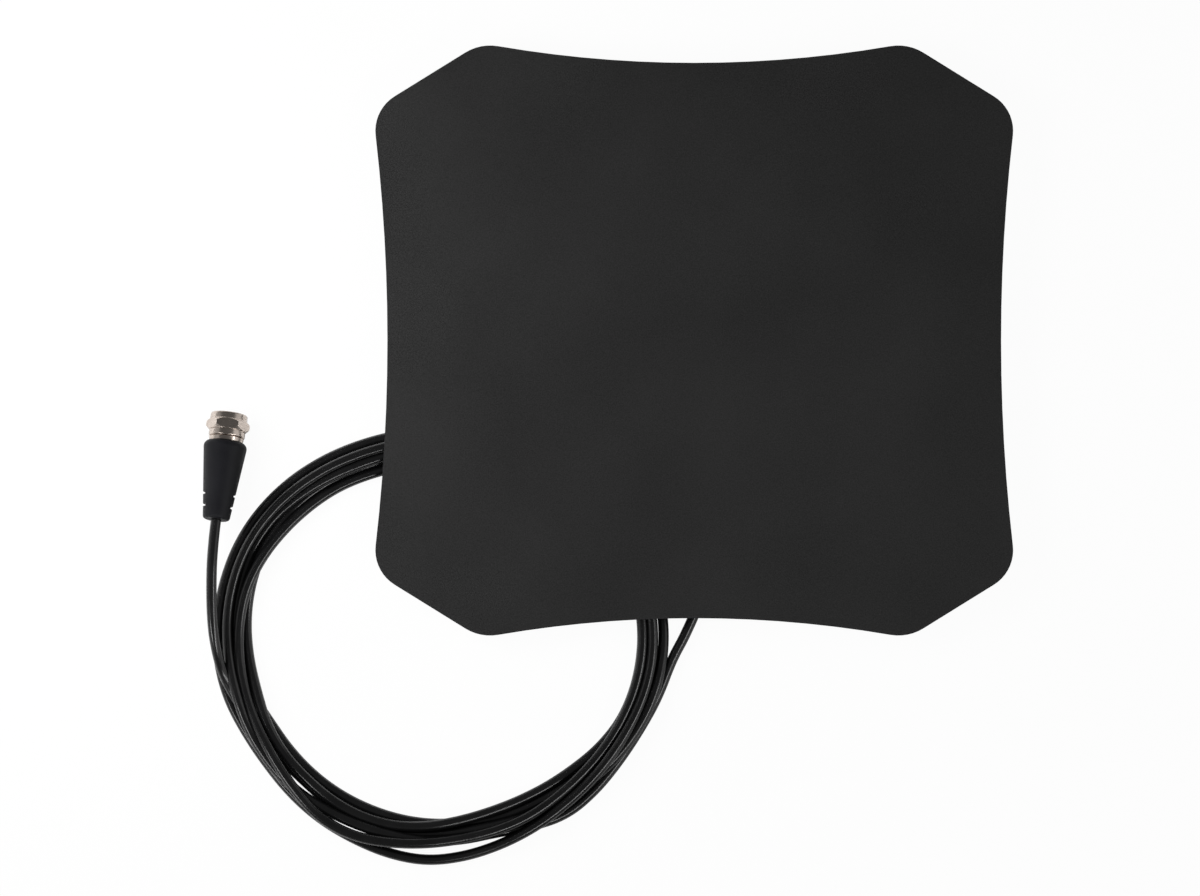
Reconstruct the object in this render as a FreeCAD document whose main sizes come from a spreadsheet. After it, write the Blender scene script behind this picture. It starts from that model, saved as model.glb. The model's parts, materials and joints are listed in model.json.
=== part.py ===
"""Flat indoor television antenna, lying with its front up.

A thin laminated panel with foil radiators inside it, a feed box on its back, and a thin coaxial lead that
lies in a loose coil and ends in a moulded plug with a free-turning coupling nut. Millimetres and degrees.
"""
import FreeCAD, Part
import math
import os
import re
import Sketcher
from FreeCAD import Vector

SIZES = {
    # panel outline, from corner to corner before the corners are rounded
    "panel_width": 189.8,
    "panel_height": 175.5,
    "end_corner_span": 126.0,
    "side_corner_span": 136.0,
    "side_sag": 4.4,
    "end_sag": 5.85,
    "side_corner_radius": 12.0,
    "end_corner_radius": 14.0,
    # panel layers, and the height of its back above the surface that the feed box stands on
    "front_thickness": 0.4,
    "back_thickness": 0.4,
    "foil_thickness": 0.1,
    "stand_height": 8.0,
    # foil wings, fed at the panel's centre
    "feed_gap": 6.0,
    "feed_tab": 14.0,
    "wing_reach": 80.0,
    "wing_span": 112.0,
    "wing_rail": 14.0,
    "window_start": 30.0,
    # feed box
    "box_width": 46.0,
    "box_depth": 30.0,
    "box_offset": 10.0,
    "box_corner": 6.0,
    "box_edge": 1.2,
    "box_wall": 1.4,
    "cover_floor": 1.8,
    "base_thickness": 1.2,
    "base_clearance": 0.15,
    "pad_thickness": 0.2,
    # cover screws and the bosses that they go into
    "screw_spacing": 34.0,
    "screw_diameter": 2.0,
    "screw_length": 4.6,
    "screw_head": 3.8,
    "screw_head_height": 0.9,
    "screw_head_recess": 0.2,
    "screw_clearance": 0.15,
    "boss_diameter": 5.0,
    # rivets from the board up to the foils
    "contact_offset": 7.0,
    "contact_flange": 3.0,
    "contact_shank": 2.0,
    "contact_clearance": 0.2,
    # matching transformer
    "board_length": 24.0,
    "board_depth": 16.0,
    "board_thickness": 1.0,
    "board_margin": 0.6,
    "core_width": 8.0,
    "core_length": 6.0,
    "core_height": 3.0,
    "core_corner": 1.2,
    "core_hole": 1.6,
    "core_hole_spacing": 4.0,
    "winding_wire": 1.0,
    "winding_overhang": 1.3,
    "winding_bend": 0.4,
    # strain relief and crimp ring
    "cable_diameter": 3.1,
    "gland_neck": 4.1,
    "gland_flange": 4.7,
    "gland_flange_thickness": 1.2,
    "gland_root": 5.8,
    "gland_tip": 4.3,
    "gland_length": 7.0,
    "gland_groove_depth": 0.5,
    "gland_groove_width": 0.8,
    "gland_groove_pitch": 1.9,
    "clamp_diameter": 4.4,
    "clamp_length": 3.0,
    "cable_stub": 1.4,
    # coil of the lead, on its centre line, and the bundle's section
    "coil_centre_x": -73.5,
    "coil_centre_y": -88.3,
    "coil_turned": -10.0,
    "coil_half_length": 62.4,
    "coil_half_width": 58.6,
    "coil_end_radius": 54.0,
    "coil_bundle_width": 11.8,
    "coil_bundle_height": 6.2,
    "coil_chamfer": 2.2,
    # plug: place of the boot's tail end, lean in plan, tilt of its front down to the surface
    "plug_x": -140.9,
    "plug_y": -52.8,
    "plug_lean": 6.75,
    "plug_tilt": 11.0,
    "plug_front_height": 5.8,
    "boot_length": 23.5,
    "boot_front": 13.2,
    "boot_tail": 7.9,
    "boot_shoulder_radius": 1.8,
    "boot_tail_radius": 0.9,
    "boot_slot_width": 1.1,
    "boot_slot_depth": 0.7,
    "boot_slot_height": 5.0,
    "boot_slot_first": 3.4,
    "boot_slot_pitch": 3.6,
    # connector body, its insulator and pin
    "collar_length": 1.25,
    "collar_rear": 9.9,
    "collar_front": 10.3,
    "collar_edge": 0.2,
    "barrel_length": 10.0,
    "barrel_diameter": 7.2,
    "post_neck": 6.4,
    "post_flange": 8.2,
    "post_flange_thickness": 0.8,
    "insulator_diameter": 4.8,
    "pin_diameter": 0.9,
    "pin_root": 1.4,
    "pin_seat": 8.0,
    "pin_stand_out": 0.5,
    # coupling nut for the standard 3/8 inch screw fitting
    "nut_flats": 11.1,
    "nut_corners": 12.85,
    "nut_ring": 10.9,
    "nut_ring_length": 1.55,
    "nut_ring_edge": 0.45,
    "nut_hex_length": 2.9,
    "nut_skirt": 10.7,
    "nut_skirt_length": 2.45,
    "nut_skirt_edge": 0.5,
    "nut_groove": 10.2,
    "nut_groove_width": 0.3,
    "nut_bore": 8.8,
    "nut_lip": 1.2,
    "nut_gap": 0.15,
    "running_clearance": 0.06,
    "end_clearance": 0.12,
}

# places worked out from the sizes, as expressions
BOX_Y = "-box_offset"
BOX_FRONT_Y = "-box_offset - box_depth / 2"
COVER_TOP = "(stand_height - pad_thickness)"
BASE_Z = "(stand_height - pad_thickness - base_thickness)"
BOARD_TOP_Y = "(box_depth / 2 - box_offset - box_wall - board_margin)"
GLAND_Z = "((cover_floor + stand_height - pad_thickness - base_thickness) / 2)"
NUT_REAR = "(boot_length + collar_length + nut_gap)"
PLUG_LENGTH = "(boot_length + collar_length + nut_gap + nut_ring_length + nut_hex_length + nut_skirt_length)"
PLUG_Z = f"(plug_front_height + {PLUG_LENGTH} * sin(plug_tilt))"

# free stretches of the lead, chosen by hand as x, y, z; each starts straight out of the box or the plug
LEAD_STRAIGHT = 19.0
LEAD_ROUTE = [(5.6, -68, 1.9), (-2.2, -86.5, 1.6), (-11, -100.5, 2.2)]
TAIL_STRAIGHT = 9.0
TAIL_ROUTE = [(-142.2, -71.2, 12.2), (-142.2, -80.6, 8.9), (-141.2, -90, 6.2), (-139.3, -98, 4.6)]
# share of a route's shorter run that a bend takes up
BEND_SHARE = 0.45
TUBE_VOLUME_TOLERANCE = 0.01
# how near two places count as the same one
SAME = 1e-4
SIDES = {"left": -1, "right": 1}

doc = FreeCAD.newDocument("IndoorAntenna")
sheet = doc.addObject("Spreadsheet::Sheet", "Sizes")
for row, (size_name, size) in enumerate(SIZES.items(), start=1):
    sheet.set(f"A{row}", size_name)
    sheet.set(f"B{row}", str(size))
    sheet.setAlias(f"B{row}", size_name)
doc.recompute()
sub_parts = []


def bound(text):
    """An expression on the sizes' names, as the document reads it."""
    return re.sub(r"[a-z][a-z_]*", lambda word: f"Sizes.{word[0]}" if word[0] in SIZES else word[0], text)


def value(text):
    """The number that an expression on the sizes' names gives."""
    return float(sheet.evalExpression(bound(text)))


def new_body(label):
    """An empty body that becomes a sub-part of its own."""
    body = doc.addObject("PartDesign::Body", label)
    body.Label = label
    sub_parts.append(body)
    return body


def place(item, x="0", y="0", z="0", yaw="0", pitch="0"):
    """Puts a sub-part at its place, turned about z by yaw and then about its own y by pitch."""
    point = f"create(<<vector>>; {bound(x)}; {bound(y)}; {bound(z)})"
    turn = f"create(<<rotation>>; {bound(yaw)}; {bound(pitch)}; 0)"
    item.setExpression("Placement", f"create(<<placement>>; {point}; {turn})")


def place_on_plug(item, along="0"):
    """Puts a sub-part of the plug on its axis, some way along from the boot's tail end."""
    level = f"({along}) * cos(plug_tilt)"
    place(
        item,
        f"plug_x + {level} * sin(plug_lean)",
        f"plug_y + {level} * cos(plug_lean)",
        f"{PLUG_Z} - ({along}) * sin(plug_tilt)",
        "90 - plug_lean",
        "plug_tilt",
    )


def new_sketch(body, role="XY_Plane", height=None):
    """A sketch on one of the body's own planes, or some height above it."""
    sketch = body.newObject("Sketcher::SketchObject", f"{body.Name}_sketch")
    support = next(feature for feature in body.Origin.OriginFeatures if feature.Role == role)
    sketch.AttachmentSupport = [(support, "")]
    sketch.MapMode = "FlatFace"
    if height:
        sketch.setExpression("AttachmentOffset.Base.z", bound(height))
    return sketch


def drive(sketch, kind, *where, text):
    """A dimension of a sketch, driven by an expression."""
    number = sketch.addConstraint(Sketcher.Constraint(kind, *where, value(text)))
    sketch.setExpression(f"Constraints[{number}]", bound(text))


def pin_point(sketch, geometry, point, x, y):
    """Fixes a point of a sketch at a pair of expressions."""
    for kind, axis, text in (("DistanceX", -2, x), ("DistanceY", -1, y)):
        if value(text) == 0:
            sketch.addConstraint(Sketcher.Constraint("PointOnObject", geometry, point, axis))
        else:
            drive(sketch, kind, -1, 1, geometry, point, text=text)


def arc_between(start, end, radius, turn):
    """Arc from start to end that bends left (turn 1) or right (turn -1), and which of its ends is which."""
    chord = end - start
    rise = math.sqrt(radius**2 - (chord.Length / 2) ** 2)
    centre = (start + end) / 2 + Vector(-chord.y, chord.x, 0) / chord.Length * rise * turn
    circle = Part.Circle(centre, Vector(0, 0, 1), radius)
    angles = [math.atan2(point.y - centre.y, point.x - centre.x) for point in (start, end)]
    if turn > 0:
        return Part.ArcOfCircle(circle, angles[0], angles[1]), 1, 2
    return Part.ArcOfCircle(circle, angles[1], angles[0]), 2, 1


def draw(sketch, points, arcs=None):
    """Closed outline through points, each a pair of expressions.

    arcs gives, for the side after a point, that arc's radius as an expression and the way it bends.
    """
    arcs = arcs or {}
    places = [Vector(value(x), value(y), 0) for x, y in points]
    sides = []
    for number, start in enumerate(places):
        end = places[(number + 1) % len(places)]
        if number in arcs:
            radius, turn = arcs[number]
            curve, first, last = arc_between(start, end, value(radius), turn)
        else:
            curve, first, last = Part.LineSegment(start, end), 1, 2
        geometry = sketch.addGeometry(curve)
        sides.append((geometry, first, last))
        pin_point(sketch, geometry, first, *points[number])
        if number in arcs:
            drive(sketch, "Radius", geometry, text=arcs[number][0])
    for number, (geometry, _, last) in enumerate(sides):
        following, first, _ = sides[(number + 1) % len(sides)]
        sketch.addConstraint(Sketcher.Constraint("Coincident", geometry, last, following, first))


def draw_circle(sketch, x, y, diameter):
    """Circle about a pair of expressions."""
    centre = Vector(value(x), value(y), 0)
    geometry = sketch.addGeometry(Part.Circle(centre, Vector(0, 0, 1), value(diameter) / 2))
    pin_point(sketch, geometry, 3, x, y)
    drive(sketch, "Diameter", geometry, text=diameter)


def draw_pair(sketch, x, y, diameter):
    """Two equal circles, one on each side of the sketch's y axis."""
    for side in SIDES.values():
        draw_circle(sketch, f"{side} * {x}", y, diameter)


def draw_rounded_rectangle(sketch, width, depth, radius):
    """Rectangle about the sketch's origin with rounded corners."""
    wide = f"(({width}) / 2)"
    deep = f"(({depth}) / 2)"
    wide_straight = f"(({width}) / 2 - ({radius}))"
    deep_straight = f"(({depth}) / 2 - ({radius}))"
    points = [
        (wide, f"-{deep_straight}"), (wide, deep_straight),
        (wide_straight, deep), (f"-{wide_straight}", deep),
        (f"-{wide}", deep_straight), (f"-{wide}", f"-{deep_straight}"),
        (f"-{wide_straight}", f"-{deep}"), (wide_straight, f"-{deep}"),
    ]
    draw(sketch, points, {side: (radius, 1) for side in (1, 3, 5, 7)})


def draw_oval(sketch, half_length, half_width, end_radius):
    """Oval of four arcs that run into each other: two ends of one radius and two flatter sides."""
    inset = f"(({half_length}) - ({end_radius}))"
    squeeze = f"(({half_width}) - ({end_radius}))"
    side_radius = f"({inset}^2 / (2 * {squeeze}) + (({half_width}) + ({end_radius})) / 2)"
    share = f"(({end_radius}) / ({side_radius} - ({end_radius})))"
    x = f"({inset} * (1 + {share}))"
    y = f"(({side_radius} - ({half_width})) * {share})"
    points = [(x, f"-{y}"), (x, y), (f"-{x}", y), (f"-{x}", f"-{y}")]
    arcs = {0: (end_radius, 1), 1: (side_radius, 1), 2: (end_radius, 1), 3: (side_radius, 1)}
    draw(sketch, points, arcs)


def pad(body, sketch, length, down=False):
    """Solid of a sketch's outline, built up along its normal or down against it."""
    feature = body.newObject("PartDesign::Pad", f"{body.Name}_pad")
    feature.Profile = sketch
    feature.setExpression("Length", bound(length))
    feature.Reversed = down
    doc.recompute()


def pocket(body, sketch, length=None, up=False):
    """Cut of a sketch's outline against its normal or up along it, to a depth or through all."""
    feature = body.newObject("PartDesign::Pocket", f"{body.Name}_pocket")
    feature.Profile = sketch
    if length:
        feature.setExpression("Length", bound(length))
    else:
        feature.Type = "ThroughAll"
    feature.Reversed = up
    doc.recompute()


def turned(label, points, arcs=None):
    """Body turned about its own x axis; points are pairs of expressions, along and out from the axis."""
    body = new_body(label)
    sketch = new_sketch(body)
    draw(sketch, points, arcs)
    feature = body.newObject("PartDesign::Revolution", f"{label}_turned")
    feature.Profile = sketch
    feature.ReferenceAxis = (sketch, ["H_Axis"])
    feature.Angle = 360
    doc.recompute()
    return body


def fillet(body, edges, radius):
    """Rounds those edges of the body's last feature."""
    base = body.Tip
    feature = body.newObject("PartDesign::Fillet", f"{body.Name}_fillet")
    feature.Base = (base, edges)
    feature.setExpression("Radius", bound(radius))
    doc.recompute()


def chamfer(body, edges, size):
    """Cuts those edges of the body's last feature back by an equal amount on both faces."""
    base = body.Tip
    feature = body.newObject("PartDesign::Chamfer", f"{body.Name}_chamfer")
    feature.Base = (base, edges)
    feature.setExpression("Size", bound(size))
    doc.recompute()


def edges_where(body, test):
    """Names of the edges of the body's last feature that pass a test."""
    return [f"Edge{number}" for number, edge in enumerate(body.Tip.Shape.Edges, start=1) if test(edge)]


def is_upright(edge):
    """Whether an edge runs along z."""
    return edge.BoundBox.ZLength > SAME and edge.BoundBox.XLength + edge.BoundBox.YLength < SAME


def is_level(edge):
    """Whether an edge lies at one height."""
    return edge.BoundBox.ZLength < SAME


def is_rim(edge, along, radius):
    """Whether an edge of a turned body is the circle of that radius at that place along its axis."""
    box = edge.BoundBox
    return box.XLength < SAME and abs(box.XMin - along) < SAME and abs(box.ZLength / 2 - radius) < SAME


# panel


SIDE_CORNER = ("panel_width / 2", "side_corner_span / 2")
END_CORNER = ("end_corner_span / 2", "panel_height / 2")


def corner_edges(body, corner):
    """Names of the upright edges at a corner of the panel's outline and at its three mirror images."""
    spot = Vector(*(value(text) for text in corner), 0)

    def at_corner(edge):
        box = edge.BoundBox
        return is_upright(edge) and spot.distanceToPoint(Vector(abs(box.XMin), abs(box.YMin), 0)) < SAME

    return edges_where(body, at_corner)


def panel_sheet(label, z, thickness):
    """One skin of the panel: hollow sides, cut-off corners, all eight corners rounded."""
    body = new_body(label)
    side_x, side_y = SIDE_CORNER
    end_x, end_y = END_CORNER
    points = [
        (side_x, f"-{side_y}"), (side_x, side_y),
        (end_x, end_y), (f"-{end_x}", end_y),
        (f"-{side_x}", side_y), (f"-{side_x}", f"-{side_y}"),
        (f"-{end_x}", f"-{end_y}"), (end_x, f"-{end_y}"),
    ]
    side_arc = ("(side_corner_span^2 / 4 + side_sag^2) / (2 * side_sag)", -1)
    end_arc = ("(end_corner_span^2 / 4 + end_sag^2) / (2 * end_sag)", -1)
    sketch = new_sketch(body)
    draw(sketch, points, {0: side_arc, 2: end_arc, 4: side_arc, 6: end_arc})
    pad(body, sketch, thickness)
    fillet(body, corner_edges(body, SIDE_CORNER), "side_corner_radius")
    fillet(body, corner_edges(body, END_CORNER), "end_corner_radius")
    place(body, z=z)
    return body


def wing_half_height(x):
    """Half the height of a foil wing at a distance from the panel's centre."""
    slope = "((wing_span - feed_tab) / 2 / (wing_reach - feed_gap / 2))"
    return f"(feed_tab / 2 + {slope} * (({x}) - feed_gap / 2))"


def draw_wing(sketch, side):
    """Outline of one foil wing and of the window in it."""
    wing = ("(feed_gap / 2)", "wing_reach", "0")
    window = ("window_start", "(wing_reach - wing_rail)", "wing_rail")
    for start, end, rail in (wing, window):
        low = f"({wing_half_height(start)} - {rail})"
        high = f"({wing_half_height(end)} - {rail})"
        draw(sketch, [(f"{side} * {start}", f"-{low}"), (f"{side} * {end}", f"-{high}"),
                      (f"{side} * {end}", high), (f"{side} * {start}", low)])


CONTACT_HOLE = "contact_shank + 2 * contact_clearance"

panel_sheet("front_sheet", "stand_height + back_thickness", "front_thickness")

back_sheet = panel_sheet("back_sheet", "stand_height", "back_thickness")
contact_holes = new_sketch(back_sheet)
draw_pair(contact_holes, "contact_offset", "0", CONTACT_HOLE)
pocket(back_sheet, contact_holes, up=True)
for side in SIDES.values():
    recess = new_sketch(back_sheet, height="back_thickness")
    draw_wing(recess, side)
    pocket(back_sheet, recess, "foil_thickness")

for side_name, side in SIDES.items():
    radiator = new_body(f"radiator_{side_name}")
    foil_outline = new_sketch(radiator)
    draw_wing(foil_outline, side)
    pad(radiator, foil_outline, "foil_thickness")
    place(radiator, z="stand_height + back_thickness - foil_thickness")


# feed box

BASE_WIDTH = "box_width - 2 * box_wall - 2 * base_clearance"
BASE_DEPTH = "box_depth - 2 * box_wall - 2 * base_clearance"
BASE_CORNER = "box_corner - box_wall - base_clearance"

adhesive_pad = new_body("adhesive_pad")
pad_outline = new_sketch(adhesive_pad)
draw_rounded_rectangle(pad_outline, BASE_WIDTH, BASE_DEPTH, BASE_CORNER)
draw_pair(pad_outline, "contact_offset", "box_offset", CONTACT_HOLE)
pad(adhesive_pad, pad_outline, "pad_thickness")
place(adhesive_pad, y=BOX_Y, z=COVER_TOP)

box_base = new_body("box_base")
base_outline = new_sketch(box_base)
draw_rounded_rectangle(base_outline, BASE_WIDTH, BASE_DEPTH, BASE_CORNER)
draw_pair(base_outline, "contact_offset", "box_offset", "contact_flange + 2 * contact_clearance")
pad(box_base, base_outline, "base_thickness")
bosses = new_sketch(box_base)
draw_pair(bosses, "screw_spacing / 2", "0", "boss_diameter")
pad(box_base, bosses, f"{BASE_Z} - cover_floor", down=True)
screw_holes = new_sketch(box_base)
draw_pair(screw_holes, "screw_spacing / 2", "0", "screw_diameter")
pocket(box_base, screw_holes)
place(box_base, y=BOX_Y, z=BASE_Z)

box_cover = new_body("box_cover")
cover_outline = new_sketch(box_cover)
draw_rounded_rectangle(cover_outline, "box_width", "box_depth", "box_corner")
pad(box_cover, cover_outline, COVER_TOP)
fillet(box_cover, edges_where(box_cover, lambda edge: edge.BoundBox.ZMax < SAME), "box_edge")
hollow = new_sketch(box_cover, height=COVER_TOP)
draw_rounded_rectangle(
    hollow, "box_width - 2 * box_wall", "box_depth - 2 * box_wall", "box_corner - box_wall"
)
pocket(box_cover, hollow, f"{COVER_TOP} - cover_floor")
clearance_holes = new_sketch(box_cover)
draw_pair(clearance_holes, "screw_spacing / 2", "0", "screw_diameter + 2 * screw_clearance")
pocket(box_cover, clearance_holes, up=True)
head_recesses = new_sketch(box_cover)
draw_pair(head_recesses, "screw_spacing / 2", "0", "screw_head + 2 * screw_clearance")
pocket(box_cover, head_recesses, "screw_head_height + screw_head_recess", up=True)
gland_hole = new_sketch(box_cover, "XZ_Plane")
draw_circle(gland_hole, "0", GLAND_Z, "gland_neck")
pocket(box_cover, gland_hole, up=True)
place(box_cover, y=BOX_Y)

for side_name, side in SIDES.items():
    screw = turned(f"cover_screw_{side_name}", [
        ("0", "0"), ("0", "screw_head / 2"), ("screw_head_height", "screw_head / 2"),
        ("screw_head_height", "screw_diameter / 2"),
        ("screw_head_height + screw_length - screw_diameter / 2", "screw_diameter / 2"),
        ("screw_head_height + screw_length", "0"),
    ])
    place(screw, x=f"{side} * screw_spacing / 2", y=BOX_Y, z="screw_head_recess", pitch="-90")

    contact_top = "base_thickness + pad_thickness + back_thickness - foil_thickness"
    contact = turned(f"feed_contact_{side_name}", [
        ("0", "0"), ("0", "contact_flange / 2"), ("base_thickness", "contact_flange / 2"),
        ("base_thickness", "contact_shank / 2"), (contact_top, "contact_shank / 2"), (contact_top, "0"),
    ])
    place(contact, x=f"{side} * contact_offset", z=BASE_Z, pitch="-90")

board = doc.addObject("Part::Box", "balun_board")
board.setExpression("Length", bound("board_length"))
board.setExpression("Width", bound("board_depth"))
board.setExpression("Height", bound("board_thickness"))
place(board, x="-board_length / 2", y=f"{BOARD_TOP_Y} - board_depth", z=f"{BASE_Z} - board_thickness")
sub_parts.append(board)

CORE_Y = f"({BOARD_TOP_Y} - board_depth / 2)"
CORE_Z = f"({BASE_Z} - board_thickness - core_height / 2)"
core = new_body("balun_core")
core_outline = new_sketch(core, "XZ_Plane")
draw_rounded_rectangle(core_outline, "core_width", "core_height", "core_corner")
draw_pair(core_outline, "core_hole_spacing / 2", "0", "core_hole")
pad(core, core_outline, "core_length")
place(core, y=f"{CORE_Y} + core_length / 2", z=CORE_Z)

winding = new_body("balun_winding")
winding_outline = new_sketch(winding)
loop_depth = "core_length + 2 * winding_overhang"
draw_rounded_rectangle(
    winding_outline, "core_hole_spacing + winding_wire", loop_depth, "winding_bend + winding_wire"
)
draw_rounded_rectangle(
    winding_outline, "core_hole_spacing - winding_wire", f"{loop_depth} - 2 * winding_wire", "winding_bend"
)
pad(winding, winding_outline, "winding_wire")
place(winding, y=CORE_Y, z=f"{CORE_Z} - winding_wire / 2")


# strain relief and crimp ring, turned about the line of the lead's exit and measured from the box's wall

GLAND_INSIDE = "-box_wall - gland_flange_thickness"


def gland_profile():
    """Half section of the strain relief: flange inside the wall, neck in it, ringed taper outside."""
    points = [
        (GLAND_INSIDE, "cable_diameter / 2"), (GLAND_INSIDE, "gland_flange / 2"),
        ("-box_wall", "gland_flange / 2"), ("-box_wall", "gland_neck / 2"),
        ("0", "gland_neck / 2"), ("0", "gland_root / 2"),
    ]
    for ring in (1, 2, 3):
        near = f"({ring} * gland_groove_pitch - gland_groove_width / 2)"
        far = f"({ring} * gland_groove_pitch + gland_groove_width / 2)"
        points += [(near, taper(near)), (near, f"{taper(near)} - gland_groove_depth"),
                   (far, f"{taper(far)} - gland_groove_depth"), (far, taper(far))]
    points += [("gland_length", "gland_tip / 2"), ("gland_length", "cable_diameter / 2")]
    return points


def taper(along):
    """Radius of the strain relief's outside at a distance from the wall."""
    return f"(gland_root / 2 - (gland_root - gland_tip) / 2 * {along} / gland_length)"


gland = turned("cable_gland", gland_profile())
place(gland, y=BOX_FRONT_Y, z=GLAND_Z, yaw="-90")

clamp_far = f"{GLAND_INSIDE} - clamp_length"
clamp = turned("cable_clamp", [
    (clamp_far, "cable_diameter / 2"), (GLAND_INSIDE, "cable_diameter / 2"),
    (GLAND_INSIDE, "clamp_diameter / 2"), (clamp_far, "clamp_diameter / 2"),
])
place(clamp, y=BOX_FRONT_Y, z=GLAND_Z, yaw="-90")


# the lead


def rounded_route(label, points):
    """Straight runs joined by arcs that run into them, each as large as its two runs allow."""
    edges = []
    start = points[0]
    radii = []
    for before, corner, after in zip(points, points[1:], points[2:]):
        run_in = corner - before
        run_out = after - corner
        half_turn = run_in.getAngle(run_out) / 2
        reach = BEND_SHARE * min(run_in.Length, run_out.Length)
        radius = reach / math.tan(half_turn)
        ahead = run_out / run_out.Length
        behind = run_in / run_in.Length
        inward = (ahead - behind) / (ahead - behind).Length
        arc_start = corner - behind * reach
        arc_end = corner + ahead * reach
        middle = corner + inward * radius * (1 / math.cos(half_turn) - 1)
        edges.append(Part.LineSegment(start, arc_start).toShape())
        edges.append(Part.Arc(arc_start, middle, arc_end).toShape())
        start = arc_end
        radii.append(round(radius, 1))
    edges.append(Part.LineSegment(start, points[-1]).toShape())
    print(label, "bend radii", radii)
    return Part.Wire(edges)


def cable_tube(label, points):
    """Round tube of the lead's diameter along a route."""
    spine = doc.addObject("Part::Feature", f"{label}_route")
    spine.Shape = rounded_route(label, points)
    circle = doc.addObject("Part::Circle", f"{label}_section")
    circle.setExpression("Radius", bound("cable_diameter / 2"))
    circle.Placement = FreeCAD.Placement(points[0], FreeCAD.Rotation(Vector(0, 0, 1), points[1] - points[0]))
    tube = doc.addObject("Part::Sweep", label)
    tube.Sections = [circle]
    tube.Spine = (spine, [f"Edge{number}" for number in range(1, len(spine.Shape.Edges) + 1)])
    tube.Solid = True
    doc.recompute()
    expected = math.pi * value("cable_diameter / 2") ** 2 * spine.Shape.Length
    if abs(tube.Shape.Volume / expected - 1) > TUBE_VOLUME_TOLERANCE:
        raise RuntimeError(f"{label}: volume {tube.Shape.Volume:.1f}, section times length {expected:.1f}")
    print(label, "length", round(spine.Shape.Length, 1))
    sub_parts.append(tube)


stub_length = value(f"{clamp_far} - cable_stub")
lead_exit = Vector(0, value(BOX_FRONT_Y), value(GLAND_Z))
lead_points = [lead_exit - Vector(0, stub_length, 0), lead_exit - Vector(0, LEAD_STRAIGHT, 0)]
cable_tube("cable_lead", lead_points + [Vector(*point) for point in LEAD_ROUTE])

coil = new_body("cable_coil")
coil_outline = new_sketch(coil)
for half_bundle in ("coil_bundle_width / 2", "-coil_bundle_width / 2"):
    draw_oval(coil_outline, f"coil_half_length + {half_bundle}", f"coil_half_width + {half_bundle}",
              f"coil_end_radius + {half_bundle}")
pad(coil, coil_outline, "coil_bundle_height")
chamfer(coil, edges_where(coil, is_level), "coil_chamfer")
place(coil, x="coil_centre_x", y="coil_centre_y", yaw="coil_turned")

plug_end = Vector(value("plug_x"), value("plug_y"), value(PLUG_Z))
plug_back = Vector(-value("cos(plug_tilt) * sin(plug_lean)"), -value("cos(plug_tilt) * cos(plug_lean)"),
                   value("sin(plug_tilt)"))
tail_points = [plug_end, plug_end + plug_back * TAIL_STRAIGHT]
cable_tube("cable_tail", tail_points + [Vector(*point) for point in TAIL_ROUTE])


# plug, turned about its own axis; the boot is measured from its tail end, the nut from its rear face, and the
# other pieces from the boot's front

boot = turned("plug_boot", [
    ("0", "0"), ("0", "boot_tail / 2"), ("boot_length", "boot_front / 2"),
    ("boot_length", "barrel_diameter / 2"), ("boot_length - barrel_length", "barrel_diameter / 2"),
    ("boot_length - barrel_length", "0"),
])
fillet(boot, edges_where(boot, lambda edge: is_rim(edge, value("boot_length"), value("boot_front / 2"))),
       "boot_shoulder_radius")
fillet(boot, edges_where(boot, lambda edge: is_rim(edge, 0, value("boot_tail / 2"))), "boot_tail_radius")
for side in SIDES.values():
    # the flex slots are cut in from both sides, and leave the boot whole along its top and bottom
    slots = new_sketch(boot, "XZ_Plane", height=f"{side} * (boot_tail / 2 - boot_slot_depth)")
    for slot in (0, 1):
        near = f"(boot_slot_first + {slot} * boot_slot_pitch)"
        far = f"({near} + boot_slot_width)"
        draw(slots, [(near, "-boot_slot_height / 2"), (far, "-boot_slot_height / 2"),
                     (far, "boot_slot_height / 2"), (near, "boot_slot_height / 2")])
    pocket(boot, slots, up=side > 0)
place_on_plug(boot)

post_front = "(collar_length + nut_gap + nut_lip + end_clearance + post_flange_thickness)"
body_bore = "insulator_diameter / 2"
connector_body = turned("connector_body", [
    ("-barrel_length", body_bore), ("-barrel_length", "barrel_diameter / 2"), ("0", "barrel_diameter / 2"),
    ("0", "collar_rear / 2"), ("collar_length - collar_edge", "collar_front / 2"),
    ("collar_length", "collar_front / 2 - collar_edge"), ("collar_length", "post_neck / 2"),
    (f"{post_front} - post_flange_thickness", "post_neck / 2"),
    (f"{post_front} - post_flange_thickness", "post_flange / 2"), (post_front, "post_flange / 2"),
    (post_front, body_bore),
])
place_on_plug(connector_body, "boot_length")

insulator = turned("plug_insulator", [
    ("-barrel_length", "0"), ("-barrel_length", body_bore), (post_front, body_bore),
    (post_front, "pin_root / 2"), ("-pin_seat", "pin_root / 2"), ("-pin_seat", "0"),
])
place_on_plug(insulator, "boot_length")

pin_tip = f"({PLUG_LENGTH} - boot_length + pin_stand_out)"
centre_pin = turned("centre_pin", [
    ("-pin_seat", "0"), ("-pin_seat", "pin_root / 2"), (post_front, "pin_root / 2"),
    (post_front, "pin_diameter / 2"), (f"{pin_tip} - pin_diameter / 2", "pin_diameter / 2"),
    (pin_tip, "pin_diameter / 4"), (pin_tip, "0"),
])
place_on_plug(centre_pin, "boot_length")

hex_start = "nut_skirt_length"
hex_end = "(nut_skirt_length + nut_hex_length)"
nut_end = "(nut_skirt_length + nut_hex_length + nut_ring_length)"
lip_bore = "(post_neck / 2 + running_clearance)"
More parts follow.
